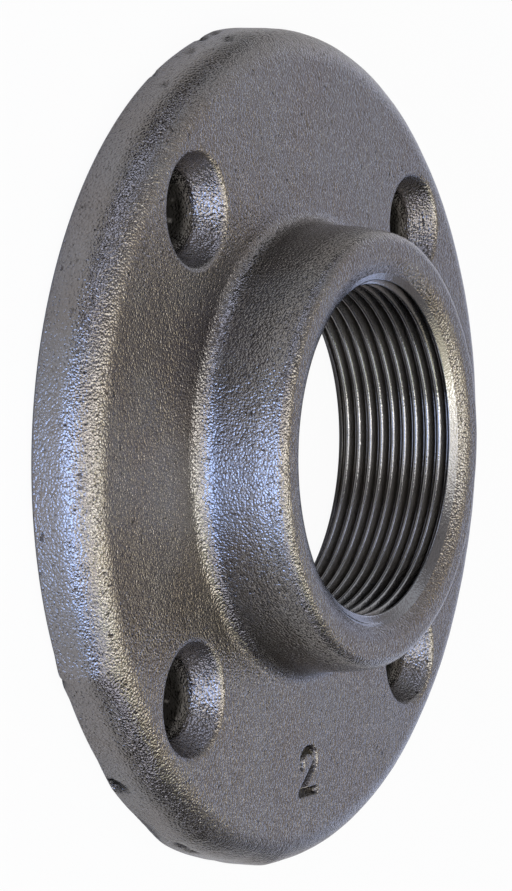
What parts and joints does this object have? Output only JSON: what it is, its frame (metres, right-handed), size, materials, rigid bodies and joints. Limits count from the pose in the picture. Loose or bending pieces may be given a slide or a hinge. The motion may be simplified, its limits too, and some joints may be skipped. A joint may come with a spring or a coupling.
{
  "type": "threaded floor flange",
  "caption": "Round cast-iron floor flange with a raised tapped hub for a pipe end and countersunk fixing holes round its plate.",
  "frame": {"origin": "centre of the thread's axis on the flat back face, which lies on Z = 0", "axes": "+Z along the thread's axis, out of the hub's mouth; the fixing holes lie on the diagonals between X and Y"},
  "size_m": [0.145, 0.145, 0.0255],
  "materials": {
    "cast_iron": "dark as-cast sand grain with a satin sheen, thread machined bare"
  },
  "bodies": {
    "root": {"flange_casting": "cast_iron"}
  },
  "joints": []
}
